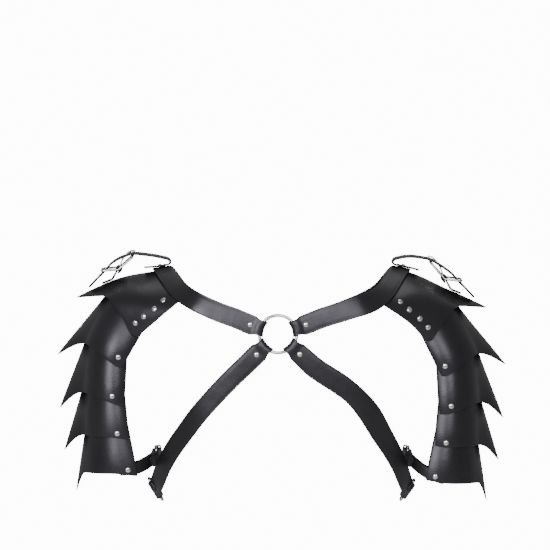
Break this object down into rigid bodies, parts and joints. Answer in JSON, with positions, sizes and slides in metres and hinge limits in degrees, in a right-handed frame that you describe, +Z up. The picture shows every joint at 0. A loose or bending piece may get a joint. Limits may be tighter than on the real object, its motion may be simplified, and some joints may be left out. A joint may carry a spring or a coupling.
{
  "type": "pair of leather pauldrons on a chest harness",
  "caption": "Pair of black leather shoulder guards of overlapping spiked plates, joined by a strap harness with a ring on the breastbone.",
  "frame": {"origin": "in the middle plane of the front ring, level with the underside of the shoulder straps' crests, halfway from front to back between them: where the harness rests on the shoulders", "axes": "+Z up, -Y to the front, +X to the wearer's left, as worn"},
  "size_m": [0.564, 0.2371, 0.3154],
  "materials": {
    "leather": "black, satin, smooth fine grain",
    "nickel": "bright nickel plate"
  },
  "bodies": {
    "root": {"adjusting_buckle_left": "nickel", "adjusting_buckle_right": "nickel", "adjusting_chape_left": "leather", "adjusting_chape_right": "leather", "adjusting_prong_left": "nickel", "adjusting_prong_right": "nickel", "adjusting_strap_left": "leather", "adjusting_strap_right": "leather", "arm_buckle_left": "nickel", "arm_buckle_right": "nickel", "arm_chape_left": "leather", "arm_chape_right": "leather", "arm_prong_left": "nickel", "arm_prong_right": "nickel", "arm_strap_left": "leather", "arm_strap_right": "leather", "back_strap_left": "leather", "back_strap_right": "leather", "chest_strap_left": "leather", "chest_strap_right": "leather", "lame_1_left": "leather", "lame_1_right": "leather", "lame_2_left": "leather", "lame_2_right": "leather", "lame_3_left": "leather", "lame_3_right": "leather", "lame_4_left": "leather", "lame_4_right": "leather", "lame_5_left": "leather", "lame_5_right": "leather", "ring_back": "nickel", "ring_front": "nickel", "rivet_1a_left": "nickel", "rivet_1a_right": "nickel", "rivet_1b_left": "nickel", "rivet_1b_right": "nickel", "rivet_1c_left": "nickel", "rivet_1c_right": "nickel", "rivet_1d_left": "nickel", "rivet_1d_right": "nickel", "rivet_2_left": "nickel", "rivet_2_right": "nickel", "rivet_3_left": "nickel", "rivet_3_right": "nickel", "rivet_4_left": "nickel", "rivet_4_right": "nickel", "rivet_5_left": "nickel", "rivet_5_right": "nickel", "rivet_chest_left": "nickel", "rivet_chest_right": "nickel", "rivet_shoulder_left": "nickel", "rivet_shoulder_right": "nickel", "shoulder_strap_left": "leather", "shoulder_strap_right": "leather", "side_ring_left": "nickel", "side_ring_right": "nickel"}
  },
  "joints": []
}
